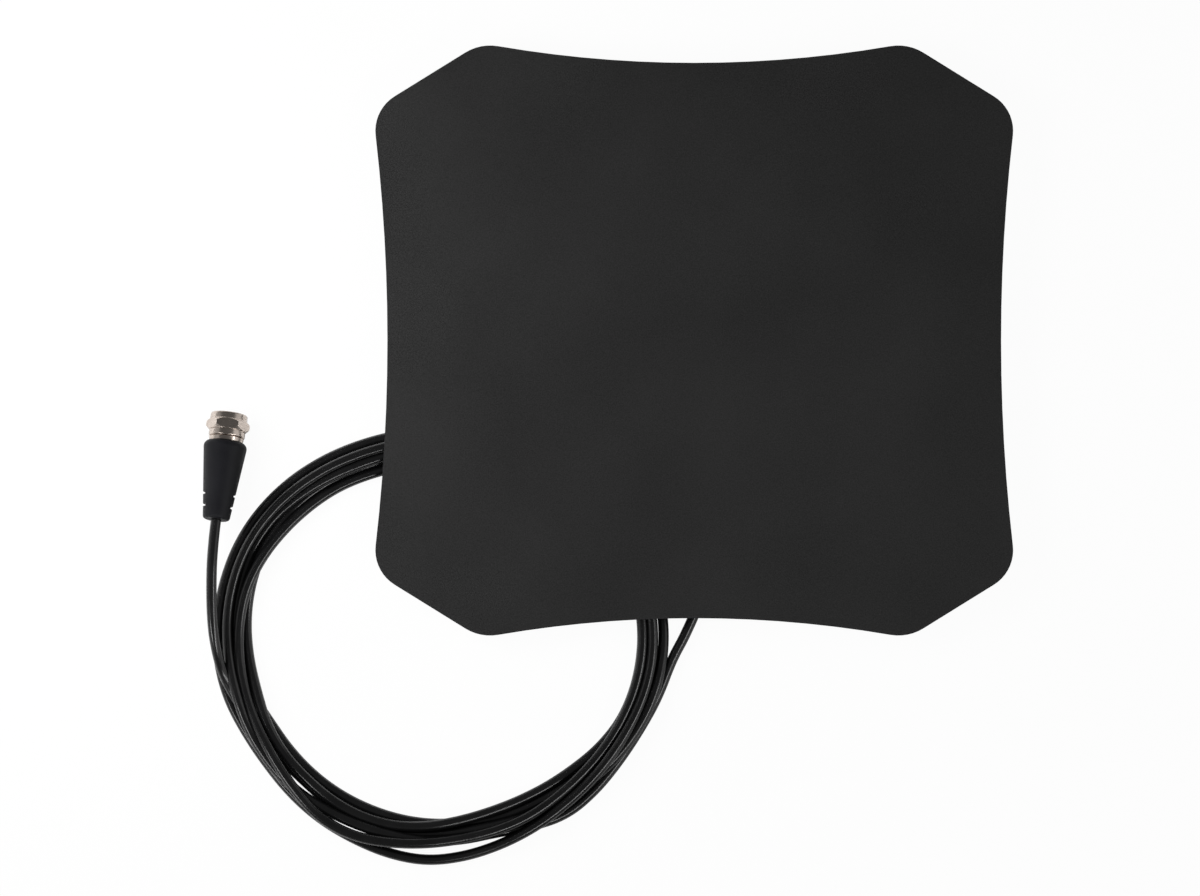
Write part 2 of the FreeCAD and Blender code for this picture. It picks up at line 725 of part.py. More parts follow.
# the hexagon's corners are turned to one round bulge, so that each flat shows as an oval
bulge_height = "((nut_corners - nut_ring) / 2)"
bulge_radius = f"(nut_hex_length^2 / 4 + {bulge_height}^2) / (2 * {bulge_height})"
nut = turned("coupling_nut", [
    ("0", lip_bore), ("0", "nut_skirt / 2 - nut_skirt_edge"), ("nut_skirt_edge", "nut_skirt / 2"),
    ("nut_skirt_length - nut_groove_width", "nut_skirt / 2"),
    ("nut_skirt_length - nut_groove_width", "nut_groove / 2"), (hex_start, "nut_groove / 2"),
    (hex_start, "nut_ring / 2"), (hex_end, "nut_ring / 2"),
    (f"{nut_end} - nut_ring_edge", "nut_ring / 2"), (nut_end, "nut_ring / 2 - nut_ring_edge"),
    (nut_end, "nut_bore / 2"), ("nut_lip", "nut_bore / 2"), ("nut_lip", lip_bore),
], {1: ("nut_skirt_edge", -1), 6: (bulge_radius, -1), 8: ("nut_ring_edge", -1)})
flats = new_sketch(nut, "YZ_Plane")
draw_circle(flats, "0", "0", "2 * nut_corners")
draw(flats, [(f"{across} * nut_flats / sqrt(3)", f"{up} * nut_flats / 2")
             for across, up in ((1, 0), (0.5, 1), (-0.5, 1), (-1, 0), (-0.5, -1), (0.5, -1))])
pocket(nut, flats, up=True)
place_on_plug(nut, NUT_REAR)


doc.recompute()
for item in doc.Objects:
    if {"Invalid", "Error"} & set(item.State):
        raise RuntimeError(f"{item.Label} failed: {item.State}")
    if item.TypeId == "PartDesign::Pocket" and item.Shape.Volume > item.BaseFeature.Shape.Volume - SAME:
        raise RuntimeError(f"{item.Label} cuts nothing")
for part in sub_parts:
    if part.Shape.isNull() or not part.Shape.isValid() or len(part.Shape.Solids) != 1:
        raise RuntimeError(f"{part.Label} has no single valid solid")

os.makedirs("parts", exist_ok=True)
for part in sub_parts:
    part.Shape.exportStep(f"parts/{part.Label}.step")
print(len(sub_parts), "sub-parts written")
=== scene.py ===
"""Looks of a flat indoor television antenna that lies face up beside its coiled lead.

The panel, the feed box and the plug are the frame's own solids with finishes of their own. The lead is one
cable that leaves the box, lies in loose turns and ends in the plug. Metres, in the frame's axes.
"""
import json
import math

import bmesh
import bpy
import numpy as np
from mathutils import Matrix, Vector


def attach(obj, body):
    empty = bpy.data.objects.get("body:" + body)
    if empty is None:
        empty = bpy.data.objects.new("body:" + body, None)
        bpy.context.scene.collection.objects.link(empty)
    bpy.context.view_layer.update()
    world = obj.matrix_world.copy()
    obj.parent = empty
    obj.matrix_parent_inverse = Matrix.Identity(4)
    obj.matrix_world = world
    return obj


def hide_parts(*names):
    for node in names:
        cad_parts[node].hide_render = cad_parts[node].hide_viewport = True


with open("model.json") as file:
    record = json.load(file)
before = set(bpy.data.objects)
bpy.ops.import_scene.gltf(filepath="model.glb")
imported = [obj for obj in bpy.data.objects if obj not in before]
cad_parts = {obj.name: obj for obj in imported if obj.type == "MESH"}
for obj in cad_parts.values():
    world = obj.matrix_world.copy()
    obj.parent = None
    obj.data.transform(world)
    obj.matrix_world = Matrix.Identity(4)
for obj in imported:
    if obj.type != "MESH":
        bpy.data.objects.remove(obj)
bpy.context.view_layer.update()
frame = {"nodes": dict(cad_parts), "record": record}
nodes = frame["nodes"]
scene = bpy.context.scene
MM = 0.001

# camera: straight down on the antenna from well above it; the picture is as wide as this at the panel's face
PICTURE_WIDTH = 353.9 * MM
PICTURE_CENTRE = Vector((-27.8, -31.7, 8.8)) * MM
CAMERA_DISTANCE = 2.4

camera_data = bpy.data.cameras.new("camera")
camera_data.lens = camera_data.sensor_width * CAMERA_DISTANCE / PICTURE_WIDTH
camera = bpy.data.objects.new("camera", camera_data)
camera.location = PICTURE_CENTRE + Vector((0, 0, CAMERA_DISTANCE))
scene.collection.objects.link(camera)
scene.camera = camera


# the lead

CABLE_DIAMETER = 3.1 * MM
LEAD_ROUTE = [(0, -18, 4.2), (0, -44, 4.2), (5.6, -68, 1.9), (-2.2, -86.5, 1.6)]
PLUG_TAIL = Vector((-140.9, -52.8, 11.868)) * MM
PLUG_LEAN, PLUG_TILT = math.radians(-6.75), math.radians(-11)
PLUG_TURN = Matrix.Rotation(PLUG_LEAN, 3, "Z") @ Matrix.Rotation(PLUG_TILT, 3, "X")
PLUG_AXIS = PLUG_TURN @ Vector((0, 1, 0))
TAIL_STRAIGHT = 9 * MM
TAIL_ROUTE = [(-139.3, -98, 5.4), (-140.7, -92.5, 8.8), (-141.9, -85, 11.7), (-142.3, -74, 13.1)]

# the coil's turns as they lie, one list for each time round: bearing in degrees, which falls along the cable,
# and distance from the coil's centre in millimetres
COIL_CENTRE = Vector((-73.65, -88.5, 0)) * MM
TURNS = [
    [(355, 67.6), (347, 65.1), (335, 62.8), (327, 61.9), (315, 62.5), (306, 63.2), (302, 63.2), (298, 62.2),
     (294, 60.1), (290, 58.2), (285, 58.1), (277, 58.8), (255, 59.6), (246, 60.0), (239, 59.9), (234, 61.2),
     (229, 62.7), (213, 63.1), (200, 63.4), (191, 63.6), (173, 64.7), (153, 64.9), (135, 62.5), (122, 60.9),
     (109, 59.4), (75, 59.0), (45, 59.8), (20, 61.0)],
    [(365, 61.5), (350, 61.4), (333, 60.0), (319, 59.6), (306, 59.9), (298, 60.6), (290, 61.8), (280, 63.2),
     (270, 65.1), (260, 66.0), (250, 64.3), (240, 64.6), (230, 64.1), (220, 63.6), (212, 63.6), (205, 64.5),
     (192, 66.5), (184, 67.5), (153, 67.3), (135, 65.4), (122, 63.7), (109, 62.2), (75, 61.0), (45, 60.0),
     (20, 58.9)],
    [(365, 58.7), (350, 58.4), (333, 57.2), (319, 56.6), (306, 56.5), (297, 57.9), (282, 57.9), (273, 58.8),
     (264, 60.1), (255, 61.4), (250, 62.6), (245, 64.0), (241, 65.0), (236, 64.9), (231, 63.0), (226, 62.4),
     (217, 61.3), (206, 60.9), (166, 60.9), (150, 58.4), (138, 56.4), (122, 55.2), (109, 53.2), (75, 53.5),
     (45, 56.0), (20, 58.2)],
    [(365, 58.7), (350, 58.2), (335, 57.6), (330, 56.8), (325, 55.6), (315, 53.6), (306, 52.8), (290, 52.1),
     (282, 52.6), (273, 53.5), (264, 55.3), (255, 57.0), (242, 58.2), (226, 57.5), (213, 58.3), (206, 58.5),
     (200, 57.5), (191, 57.3), (180, 58.7), (170, 59.2), (160, 60.1), (150, 60.3), (143, 60.0), (135, 59.3),
     (109, 55.3), (75, 56.5), (45, 59.0), (20, 61.2)],
    [(365, 61.6), (350, 60.9), (340, 60.6), (330, 59.7), (319, 57.4), (306, 55.8), (290, 54.9), (275, 54.1),
     (265, 54.7), (250, 54.6), (235, 55.2), (225, 55.8), (205, 56.7), (198, 58.3), (190, 61.2), (180, 62.5),
     (168, 62.6), (153, 63.1), (143, 61.8), (135, 60.4), (122, 58.4), (109, 56.6), (75, 58.9), (45, 62.5),
     (20, 64.3)],
    [(365, 64.9), (350, 64.6), (337, 62.7), (328, 61.8), (315, 59.5), (306, 58.5), (297, 58.3), (290, 56.8),
     (280, 56.6), (271, 57.2), (262, 58.0), (254, 59.3), (247, 60.0), (240, 59.7), (232, 58.2), (224, 58.4),
     (218, 59.1), (211, 60.2), (204, 61.6), (198, 63.2), (190, 66.1), (185, 67.4), (180, 68.1)],
]
# the bearing that every time round starts from, and how far round the coil starts and ends, in degrees
FIRST_BEARING = 365
COIL_START = 10
COIL_END = 5 * 360 + 185
# heights of the tail where it rises out of the coil, at its last bearings
TAIL_RISE = np.array((4.6, 6.6, 9.2)) * MM
# from each bearing on, which time round lies lowest and what lies on it
LAID = [
    (365, (0, 4, 3, 5, 1, 2)),
    (325, (0, 4, 5, 3, 1, 2)),
    (262, (1, 5, 4, 0, 3, 2)),
    (210, (1, 4, 5, 3, 0, 2)),
    (152, (3, 2, 1, 4, 0, 5)),
    (100, (3, 2, 4, 0, 1, 5)),
]
# where the panel lies over the coil: between which bearings, the height of its back, and the room that the
# cable's middle line keeps from it
UNDER_PANEL = (12, 104)
PANEL_BACK = 8.0 * MM
PANEL_ROOM = 0.55 * CABLE_DIAMETER
# a height that the cable doesn't reach, where nothing lies over it
OPEN_CEILING = 1.0
# degrees between the places where the turns are settled, and how many of those make one point of the cable
STEP = 5
POINT_STRIDE = 2
# before they settle, the turns lie this many diameters above each other, evened out over so many places
LAYER_RISE = 0.6
LAYER_EASE = 3
# settling: how far the turns sink in each round, the least distance that two are taken to have, and the
# shares by which they give way to each other, go back towards their place and even out
SETTLE_ROUNDS = 400
SINK = 0.03 * MM
LEAST_GAP = 0.05 * MM
GIVE_WAY = 0.35
GIVE_WAY_ASIDE = 0.3
GO_BACK = 0.1
EVEN_OUT_ASIDE = 0.15
EVEN_OUT_UP = 0.4
# fineness of the cable's mesh along its line and round it
CABLE_FINENESS = 8


def eased(values, reach):
    """Values along the cable, evened out over that many neighbours to each side."""
    weights = np.hanning(2 * reach + 3)[1:-1]
    padded = np.concatenate([np.full(reach, values[0]), values, np.full(reach, values[-1])])
    return np.convolve(padded, weights / weights.sum(), mode="valid")


def settled(wanted, heights, ceiling, slots):
    """Distances and heights of the turns once they have sunk onto each other and the table."""
    distance = wanted.copy()
    pairs = []
    for places in slots:
        pairs += [(low, high) for count, low in enumerate(places) for high in places[count + 1:]]
    first, second = np.array(pairs).T
    for _ in range(SETTLE_ROUNDS):
        heights = heights - SINK
        aside = distance[second] - distance[first]
        above = heights[second] - heights[first]
        apart = np.maximum(np.hypot(aside, above), LEAST_GAP)
        push = np.maximum(CABLE_DIAMETER - apart, 0) / apart * GIVE_WAY
        np.add.at(heights, second, above * push)
        np.add.at(heights, first, -above * push)
        np.add.at(distance, second, aside * push * GIVE_WAY_ASIDE)
        np.add.at(distance, first, -aside * push * GIVE_WAY_ASIDE)
        distance = distance + GO_BACK * (wanted - distance)
        distance = (1 - EVEN_OUT_ASIDE) * distance + EVEN_OUT_ASIDE * eased(distance, 1)
        heights = (1 - EVEN_OUT_UP) * heights + EVEN_OUT_UP * eased(heights, 1)
        heights = np.clip(heights, CABLE_DIAMETER / 2, ceiling)
        heights[-len(TAIL_RISE):] = TAIL_RISE
    return distance, heights


def coil_line():
    """Points of the coil's turns, each turn resting on those that lie under it."""
    keys = sorted((FIRST_BEARING - bearing + 360 * turn, distance * MM)
                  for turn, places in enumerate(TURNS) for bearing, distance in places)
    travel = np.arange(COIL_START, COIL_END + STEP, STEP)
    wanted = eased(np.interp(travel, [key[0] for key in keys], [key[1] for key in keys]), 1)
    heights = np.zeros(len(travel))
    slots = []
    for start in range(0, 360, STEP):
        order = [turns for limit, turns in LAID if FIRST_BEARING - start <= limit][-1]
        places = [(360 * turn + start - COIL_START) // STEP for turn in order]
        slots.append([place for place in places if 0 <= place < len(travel)])
        for rank, place in enumerate(slots[-1]):
            heights[place] = CABLE_DIAMETER * (0.5 + LAYER_RISE * rank)
    bearings = (FIRST_BEARING - travel) % 360
    under = (bearings > UNDER_PANEL[0]) & (bearings < UNDER_PANEL[1])
    ceiling = np.where(under, PANEL_BACK - PANEL_ROOM, OPEN_CEILING)
    distance, heights = settled(wanted, eased(heights, LAYER_EASE), ceiling, slots)
    # a control point stands this much outside the curve that it makes
    stand_out = 1 / math.cos(math.radians(STEP * POINT_STRIDE / 2))
    places = list(zip(np.radians(bearings), distance * stand_out, heights))[:-len(TAIL_RISE)]
    return [COIL_CENTRE + Vector((math.cos(b) * d, math.sin(b) * d, h)) for b, d, h in places[::POINT_STRIDE]]


def make_cable():
    """The whole lead as one smooth cable."""
    tail = [Vector(point) * MM for point in TAIL_ROUTE]
    points = [Vector(point) * MM for point in LEAD_ROUTE] + coil_line() + tail
    points += [PLUG_TAIL - PLUG_AXIS * TAIL_STRAIGHT, PLUG_TAIL]
    curve = bpy.data.curves.new("cable", "CURVE")
    curve.dimensions = "3D"
    spline = curve.splines.new("NURBS")
    spline.points.add(len(points) - 1)
    for control, point in zip(spline.points, points):
        control.co = (*point, 1)
    spline.order_u = 3
    spline.use_endpoint_u = True
    spline.resolution_u = CABLE_FINENESS
    curve.bevel_depth = CABLE_DIAMETER / 2
    curve.bevel_resolution = CABLE_FINENESS
    curve.use_fill_caps = True
    cable = bpy.data.objects.new("cable", curve)
    scene.collection.objects.link(cable)
    return cable


cable = make_cable()


# finishes

class Value:
    """One output of a shader node. Sums and products of values add Math nodes."""

    def __init__(self, nodes, socket):
        self.nodes = nodes
        self.socket = socket

    def worked(self, operation, other):
        return self.nodes.add("ShaderNodeMath", {"operation": operation}, {0: self, 1: other})

    def __add__(self, other):
        return self.worked("ADD", other)

    def __mul__(self, other):
        return self.worked("MULTIPLY", other)


class ShaderNodes:
    """The tree of shader nodes of a material or a world."""

    def __init__(self, tree):
        self.tree = tree

    def add(self, kind, settings, inputs, output=0):
        """A node of that kind with its settings made first, then its sockets set or linked."""
        node = self.tree.nodes.new(kind)
        for name, value in settings.items():
            if name == "stops":
                ramp = node.color_ramp
                while len(ramp.elements) < len(value):
                    ramp.elements.new(1)
                for stop, (position, colour) in zip(ramp.elements, value):
                    stop.position = position
                    stop.color = (*colour, 1)
            else:
                setattr(node, name, value)
        for socket, value in inputs.items():
            self.feed(node.inputs[socket], value)
        return Value(self, node.outputs[output])

    def feed(self, socket, value):
        if isinstance(value, Value):
            self.tree.links.new(value.socket, socket)
        else:
            socket.default_value = value

    def between(self, value, low, high, start, end):
        """Value from low..high brought to start..end."""
        return self.add("ShaderNodeMapRange", {}, {0: value, 1: low, 2: high, 3: start, 4: end})

    def ramp(self, value, *stops):
        return self.add("ShaderNodeValToRGB", {"stops": stops}, {0: value})

    def blend(self, share, first, second):
        """Colours mixed by share."""
        opaque = [colour if isinstance(colour, Value) else (*colour, 1) for colour in (first, second)]
        return self.add("ShaderNodeMix", {"data_type": "RGBA"}, {0: share, 6: opaque[0], 7: opaque[1]}, 2)


class Finish(ShaderNodes):
    """A material of nodes on one shader, whose even values are set on the shader's own sockets."""

    def __init__(self, name, even):
        self.material = bpy.data.materials.new(name)
        self.material.use_nodes = True
        super().__init__(self.material.node_tree)
        self.shader = self.tree.nodes["Principled BSDF"]
        for socket, value in even.items():
            self.shader.inputs[socket].default_value = value
        self.place = self.add("ShaderNodeTexCoord", {}, {}, "Object")

    def surface(self, **sockets):
        """What changes over the surface, by the shader's socket."""
        for name, value in sockets.items():
            self.feed(self.shader.inputs[name.replace("_", " ")], value)

    def turned(self, place, angles):
        """Coordinates from that place, along axes turned by those angles."""
        return self.add("ShaderNodeMapping", {"vector_type": "TEXTURE"},
                        {"Vector": self.place, "Location": place, "Rotation": angles})

    def streaks(self, scale, rough, place=None):
        """Noise drawn out along an axis by an uneven scale."""
        stretched = self.add("ShaderNodeMapping", {}, {"Vector": place or self.place, "Scale": scale})
        return self.add("ShaderNodeTexNoise", {},
                        {"Vector": stretched, "Scale": 1.0, "Detail": 3, "Roughness": rough})

    def noise(self, size, detail=2.0, rough=0.5):
        """Cloudy noise whose patches are about that many metres across."""
        return self.add("ShaderNodeTexNoise", {},
                        {"Vector": self.place, "Scale": 1 / size, "Detail": detail, "Roughness": rough})

    def cells(self, size):
        """Cells about that many metres across."""
        return self.add("ShaderNodeTexVoronoi", {}, {"Vector": self.place, "Scale": 1 / size})

    def bump(self, height, depth, strength):
        return self.add("ShaderNodeBump", {}, {"Height": height, "Distance": depth, "Strength": strength})


def panel_film():
    """Matte black plastic film with a fine even grain."""
    film = Finish("panel_film", {"IOR": 1.46, "Specular IOR Level": 0.21})
    grain = film.noise(0.34 * MM, 2, 0.7)
    cloud = film.noise(40 * MM, 2)
    tone = grain * 0.8 + cloud * 0.2
    film.surface(
        Base_Color=film.ramp(tone, (0.32, (0.0060, 0.0060, 0.0060)), (0.68, (0.0190, 0.0190, 0.0190))),
        Roughness=film.between(grain, 0.3, 0.7, 0.46, 0.56),
        Normal=film.bump(grain, 0.03 * MM, 0.4),
    )
    return film.material


def box_plastic():
    """Moulded black plastic with a spark-eroded texture."""
    plastic = Finish("box_plastic", {"IOR": 1.5})
    sparks = plastic.cells(0.55 * MM)
    cloud = plastic.noise(9 * MM, 3)
    plastic.surface(
        Base_Color=plastic.ramp(cloud, (0.3, (0.017, 0.017, 0.0175)), (0.75, (0.026, 0.026, 0.027))),
        Roughness=plastic.between(sparks, 0.1, 0.7, 0.44, 0.58),
        Normal=plastic.bump(sparks, 0.05 * MM, 0.6),
    )
    return plastic.material


def cable_jacket():
    """Glossy black jacket, drawn smooth, with faint scuffs."""
    jacket = Finish("cable_jacket", {"IOR": 1.5})
    scuff = jacket.noise(14 * MM, 4, 0.7)
    draw = jacket.noise(8 * MM, 0)
    jacket.surface(
        Base_Color=jacket.ramp(scuff, (0.35, (0.0022, 0.0022, 0.0023)), (0.75, (0.0046, 0.0046, 0.0048))),
        Roughness=jacket.between(scuff, 0.3, 0.75, 0.17, 0.26),
        Normal=jacket.bump(draw, 0.03 * MM, 0.1),
    )
    return jacket.material


def boot_moulding():
    """Satin black moulding of the plug's boot and the box's strain relief."""
    moulding = Finish("boot_moulding", {"IOR": 1.5, "Specular IOR Level": 0.19})
    grain = moulding.noise(0.3 * MM, 3, 0.6)
    cloud = moulding.noise(5 * MM, 3)
    moulding.surface(
        Base_Color=moulding.ramp(cloud, (0.3, (0.0026, 0.0026, 0.0034)), (0.75, (0.0046, 0.0047, 0.0057))),
        Roughness=moulding.between(grain, 0.25, 0.75, 0.48, 0.62),
        Normal=moulding.bump(grain, 0.05 * MM, 0.8),
    )
    return moulding.material


def nickel_plate():
    """Nickel plate over turned brass: fine rings round the plug's axis and a faint warm tarnish."""
    nickel = Finish("nickel_plate", {"Metallic": 1.0})
    along = nickel.turned(PLUG_TAIL, (PLUG_TILT, 0, PLUG_LEAN))
    rings = nickel.streaks((90, 7000, 90), 0.7, along)
    tarnish = nickel.noise(2.6 * MM, 3, 0.6)
    nickel.surface(
        Base_Color=nickel.ramp(tarnish, (0.3, (0.52, 0.45, 0.40)), (0.7, (0.60, 0.525, 0.47))),
        Roughness=nickel.between(rings, 0.3, 0.7, 0.18, 0.33),
        Normal=nickel.bump(rings, 0.006 * MM, 0.35),
    )
    return nickel.material


def rolled_foil():
    """Aluminium foil with rolling streaks."""
    foil = Finish("rolled_foil", {"Metallic": 1.0})
    streaks = foil.streaks((60, 2600, 60), 0.6)
    foil.surface(
        Base_Color=foil.ramp(streaks, (0.3, (0.72, 0.72, 0.73)), (0.7, (0.84, 0.84, 0.85))),
        Roughness=foil.between(streaks, 0.3, 0.7, 0.22, 0.4),
        Normal=foil.bump(streaks, 0.008 * MM, 0.4),
    )
    return foil.material


def foam_tape():
    """Closed-cell foam of the bonding pad."""
    foam = Finish("foam_tape", {"IOR": 1.45})
    cells = foam.cells(0.6 * MM)
    foam.surface(
        Base_Color=foam.ramp(cells, (0.1, (0.66, 0.65, 0.61)), (0.7, (0.78, 0.77, 0.73))),
        Roughness=foam.between(cells, 0.1, 0.7, 0.75, 0.9),
        Normal=foam.bump(cells, 0.12 * MM, 0.7),
    )
    return foam.material


def screw_steel():
    """Blackened steel, worn bright in places."""
    steel = Finish("screw_steel", {"Metallic": 1.0})
    wear = steel.noise(0.9 * MM, 4, 0.65)
    steel.surface(
        Base_Color=steel.ramp(wear, (0.4, (0.10, 0.10, 0.105)), (0.75, (0.34, 0.34, 0.345))),
        Roughness=steel.between(wear, 0.3, 0.75, 0.5, 0.3),
        Normal=steel.bump(wear, 0.02 * MM, 0.4),
    )
    return steel.material


def board_mask():
    """Green solder mask over copper tracks."""
    board = Finish("board_mask", {"IOR": 1.52})
    weave = board.cells(0.5 * MM)
    tracks = board.add("ShaderNodeTexWave", {"wave_type": "BANDS"}, {
        "Vector": board.place, "Scale": 55, "Distortion": 3, "Detail": 1, "Detail Scale": 0.4})
    track = board.between(tracks, 0.55, 0.62, 0, 1)
    board.surface(
        Base_Color=board.blend(track, (0.022, 0.10, 0.05), (0.06, 0.21, 0.10)),
        Roughness=board.between(weave, 0.1, 0.7, 0.25, 0.38),
        Normal=board.bump(track + weave * 0.15, 0.04 * MM, 0.6),
    )
    return board.material


def sintered_ferrite():
    """Dark sintered ferrite with fine pores."""
    ferrite = Finish("sintered_ferrite", {"IOR": 1.6})
    pores = ferrite.noise(0.35 * MM, 4, 0.7)
    ferrite.surface(
        Base_Color=ferrite.ramp(pores, (0.35, (0.035, 0.035, 0.038)), (0.7, (0.075, 0.075, 0.08))),
        Roughness=ferrite.between(pores, 0.3, 0.7, 0.62, 0.8),
        Normal=ferrite.bump(pores, 0.05 * MM, 0.6),
    )
    return ferrite.material


def enamelled_copper():
    """Wire under clear enamel, its turns as fine ridges."""
    copper = Finish("enamelled_copper", {"Metallic": 1.0, "Coat Roughness": 0.1})
    turns = copper.add("ShaderNodeTexWave", {}, {"Vector": copper.place, "Scale": 900, "Distortion": 1.5})
    copper.surface(
        Base_Color=copper.ramp(turns, (0.2, (0.50, 0.22, 0.10)), (0.8, (0.75, 0.42, 0.24))),
        Roughness=copper.between(turns, 0, 1, 0.34, 0.22),
        Coat_Weight=copper.between(turns, 0, 1, 0.4, 0.6),
        Normal=copper.bump(turns, 0.06 * MM, 0.7),
    )
    return copper.material


def bare_brass():
    """Brass of the contacts, the crimp and the pin."""
    brass = Finish("bare_brass", {"Metallic": 1.0})
    tarnish = brass.noise(1.4 * MM, 4, 0.6)
    brass.surface(
        Base_Color=brass.ramp(tarnish, (0.3, (0.66, 0.50, 0.26)), (0.75, (0.82, 0.68, 0.40))),
        Roughness=brass.between(tarnish, 0.3, 0.7, 0.2, 0.38),
        Normal=brass.bump(tarnish, 0.01 * MM, 0.3),
    )
    return brass.material


def white_insulator():
    """Natural white insulator inside the plug."""
    white = Finish("white_insulator", {"IOR": 1.45})
    cloud = white.noise(1.1 * MM, 3)
    white.surface(
        Base_Color=white.ramp(cloud, (0.3, (0.74, 0.74, 0.70)), (0.7, (0.84, 0.84, 0.81))),
        Roughness=white.between(cloud, 0.3, 0.7, 0.4, 0.52),
        Normal=white.bump(cloud, 0.02 * MM, 0.4),
    )
    return white.material


FINISHES = {
    "panel": panel_film(),
    "foil": rolled_foil(),
    "pad": foam_tape(),
    "box": box_plastic(),
    "steel": screw_steel(),
    "board": board_mask(),
    "ferrite": sintered_ferrite(),
    "copper": enamelled_copper(),
    "contact": bare_brass(),
    "cable": cable_jacket(),
    "boot": boot_moulding(),
    "nickel": nickel_plate(),
    "insulator": white_insulator(),
}

for part in frame["record"]["subparts"]:
    mesh = nodes[part["node"]].data
    mesh.materials.clear()
    mesh.materials.append(FINISHES[part["material_slot"]])


def dress(piece, body, slot, *stands_for):
    """The piece takes its finish, moves with its body and stands for those CAD nodes."""
    piece.data.materials.clear()
    piece.data.materials.append(FINISHES[slot])
    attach(piece, body)
    if stands_for:
        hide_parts(*stands_for)


# coupling nut: distances along the plug from the nut's back, and radii

NUT_REAR = 24.9 * MM
NUT_BACK, NUT_LENGTH = -0.09 * MM, 6.9 * MM
NUT_FLAT = 5.58 * MM
SKIRT_RADIUS, SKIRT_EDGE, SKIRT_END = 5.35 * MM, 0.4 * MM, 1.4 * MM
GROOVE_RADIUS = 5.12 * MM
HEX_MIDDLE, HEX_HALF, HEX_RISE = 3.45 * MM, 1.55 * MM, 1.0 * MM
# share of the swelling's half length that is level, and how many steps its corners are rounded over
HEX_CREST, HEX_EASE = 0.45, 4
RING_RADIUS, RING_EDGE = 5.45 * MM, 0.45 * MM
LIP_RADIUS, LIP_LENGTH = 3.3 * MM, 1.2 * MM
BORE_RADIUS, BORE_CHAMFER = 4.75 * MM, 0.25 * MM
THREAD_PITCH, THREAD_DEPTH = 0.794 * MM, 0.36 * MM
THREAD_START, THREAD_TURNS = 1.7 * MM, 6
THREAD_STEPS, THREAD_CORNERS = 48, 4
NUT_SIDES = 6
ROUND_STEPS, ARC_STEPS, BULGE_STEPS = 128, 6, 32
SHARP_EDGE = math.radians(20)


def placed_on_plug(mesh, along, turn=Matrix()):
    """The mesh, made about the plug's axis as Y, goes that far along the plug."""
    place = Matrix.Translation(PLUG_TAIL + PLUG_AXIS * along)
    mesh.transform(place @ PLUG_TURN.to_4x4() @ turn)


def rounded(centre, radius, start, end):
    """Points of an arc in a profile, by its angles in degrees from the plug's axis."""
    angles = np.radians(np.linspace(start, end, ARC_STEPS + 1))
    return [(centre[0] + radius * math.cos(a), centre[1] + radius * math.sin(a)) for a in angles]


def nut_profile():
    """Outline of the nut's wall, once round: skirt, groove, swelling for the flats, ring and bore."""
    shares = np.linspace(-1, 1, BULGE_STEPS + 1)
    rise = eased(np.minimum((1 - np.abs(shares)) / (1 - HEX_CREST), 1), HEX_EASE)
    swelling = list(zip(HEX_MIDDLE + HEX_HALF * shares, RING_RADIUS + HEX_RISE * rise))
    return [
        (NUT_BACK, LIP_RADIUS),
        *rounded((NUT_BACK + SKIRT_EDGE, SKIRT_RADIUS - SKIRT_EDGE), SKIRT_EDGE, 180, 90),
        (SKIRT_END, SKIRT_RADIUS), (SKIRT_END, GROOVE_RADIUS), (HEX_MIDDLE - HEX_HALF, GROOVE_RADIUS),
        *swelling,
        *rounded((NUT_LENGTH - RING_EDGE, RING_RADIUS - RING_EDGE), RING_EDGE, 90, 0),
        (NUT_LENGTH, BORE_RADIUS + BORE_CHAMFER / 2), (NUT_LENGTH - BORE_CHAMFER, BORE_RADIUS),
        (LIP_LENGTH, BORE_RADIUS), (LIP_LENGTH, LIP_RADIUS),
    ]


def outward(mesh):
    """The mesh with its faces turned outwards."""
    shell = bmesh.new()
    shell.from_mesh(mesh)
    bmesh.ops.recalc_face_normals(shell, faces=shell.faces)
    shell.to_mesh(mesh)
    shell.free()


def turned_ring(name, profile):
    """A ring whose wall has that profile, about the Y axis."""
    bearings = np.linspace(0, 2 * math.pi, ROUND_STEPS, endpoint=False)
    points = [(r * math.cos(b), along, r * math.sin(b)) for b in bearings for along, r in profile]
    count = len(profile)
    faces = []
    for row in range(ROUND_STEPS):
        here, beside = row * count, (row + 1) % ROUND_STEPS * count
        for place in range(count):
            after = (place + 1) % count
            faces.append((here + place, here + after, beside + after, beside + place))
    mesh = bpy.data.meshes.new(name)
    mesh.from_pydata(points, [], faces)
    outward(mesh)
    ring = bpy.data.objects.new(name, mesh)
    scene.collection.objects.link(ring)
    return ring


def flats_cutter():
    """Six-sided prism that leaves the nut's flats, one of them on top."""
    corner = NUT_FLAT / math.cos(math.pi / NUT_SIDES)
    turn = 2 * math.pi / NUT_SIDES
    ends = (NUT_BACK - NUT_LENGTH, NUT_LENGTH * 2)
    sides = range(NUT_SIDES)
    points = [(corner * math.cos(turn * side), end, corner * math.sin(turn * side))
              for end in ends for side in sides]
    faces = [tuple(sides), tuple(side + NUT_SIDES for side in sides)]
    for side in sides:
        after = (side + 1) % NUT_SIDES
        faces.append((side, after, after + NUT_SIDES, side + NUT_SIDES))
    mesh = bpy.data.meshes.new("flats")
    mesh.from_pydata(points, [], faces)
    outward(mesh)
    cutter = bpy.data.objects.new("flats", mesh)
    scene.collection.objects.link(cutter)
    return cutter


def worked_out(piece):
    """The piece's modifiers made into its plain mesh."""
    shown = piece.evaluated_get(bpy.context.evaluated_depsgraph_get())
    mesh = bpy.data.meshes.new_from_object(shown)
    piece.modifiers.clear()
    piece.data = mesh
    return mesh


